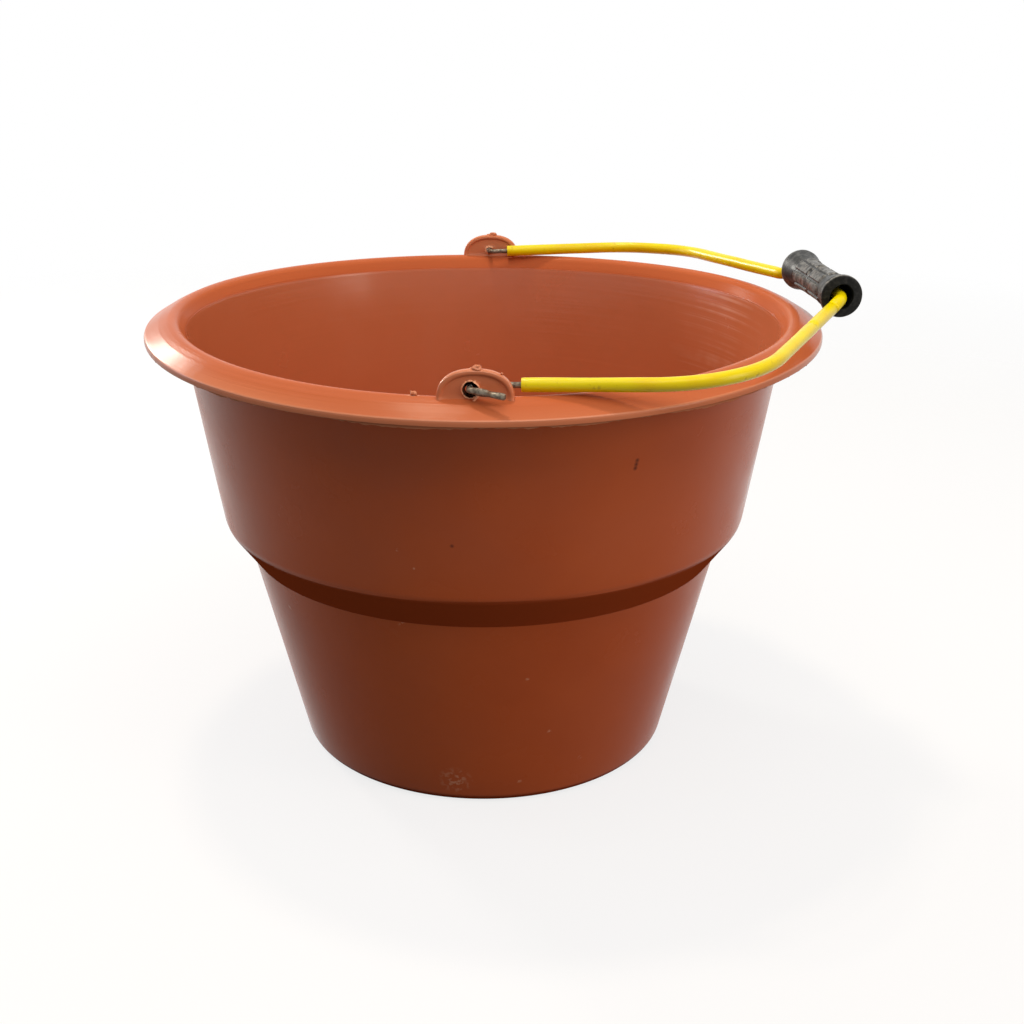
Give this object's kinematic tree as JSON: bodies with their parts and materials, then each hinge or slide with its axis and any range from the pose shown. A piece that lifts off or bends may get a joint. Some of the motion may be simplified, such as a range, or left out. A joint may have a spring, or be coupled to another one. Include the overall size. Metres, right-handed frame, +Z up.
{
  "type": "builders bucket",
  "caption": "Moulded plastic builder's bucket with a stepped tapered tub, a rolled rim flange, two ears and a folded wire bail with a sleeve and a rubber grip",
  "frame": {"origin": "the middle of the flat base, on the ground", "axes": "+Z up; the ears stand at -Y (front) and +Y (back); the bail lies folded down towards +X"},
  "size_m": [0.3441, 0.33, 0.2484],
  "materials": {
    "tub": "brick-red injection-moulded plastic, glossy outside, satin inside",
    "wire": "drawn steel wire, dull, with a little rust",
    "sleeve": "yellow soft plastic tube, glossy",
    "grip": "moulded black rubber, satin"
  },
  "bodies": {
    "bucket": {"bucket": "tub"},
    "bail": {"bail_wire": "wire", "bail_sleeve": "sleeve"},
    "grip": {"grip": "grip"}
  },
  "joints": [
    {"name": "bail_swing", "type": "hinge", "parent": "bucket", "child": "bail", "pos_m": [-0.00135, 0, 0.2253], "axis": [0, -1, 0], "range_deg": [0, 172]},
    {"name": "grip_spin", "type": "hinge", "parent": "bail", "child": "grip", "pos_m": [0.165, 0, 0.2383], "axis": [-0.1332, 0.9911, 0], "continuous": true}
  ]
}
